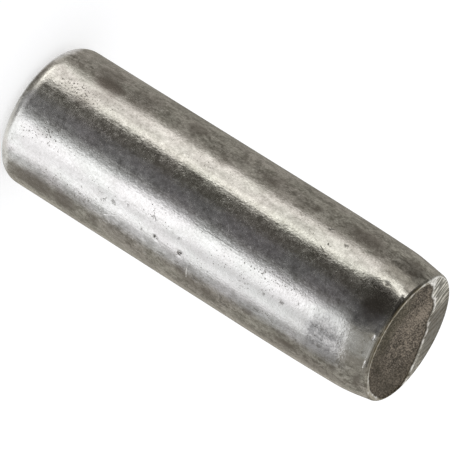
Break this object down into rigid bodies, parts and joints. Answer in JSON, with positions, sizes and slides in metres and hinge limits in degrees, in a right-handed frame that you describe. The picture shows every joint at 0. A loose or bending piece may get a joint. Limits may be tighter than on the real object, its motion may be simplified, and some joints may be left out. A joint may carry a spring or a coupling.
{
  "type": "dowel pin",
  "caption": "Solid steel dowel pin: ground cylinder with a rounded heel and a short tapered lead end, its end face ground round a shallow cut-off hollow.",
  "frame": {"origin": "middle of the heel's flat, at the bottom of the standing pin", "axes": "+Z along the pin's axis from the rounded heel to the tapered lead end; the ground land of the end face lies on the -X -Y side"},
  "size_m": [0.008, 0.008, 0.0241],
  "materials": {
    "steel": "hardened and ground steel, worn: fine pits, scratches and a thin warm tarnish, with dull grey scale in the hollow of the end face"
  },
  "bodies": {
    "root": {"dowel_pin": "steel"}
  },
  "joints": []
}
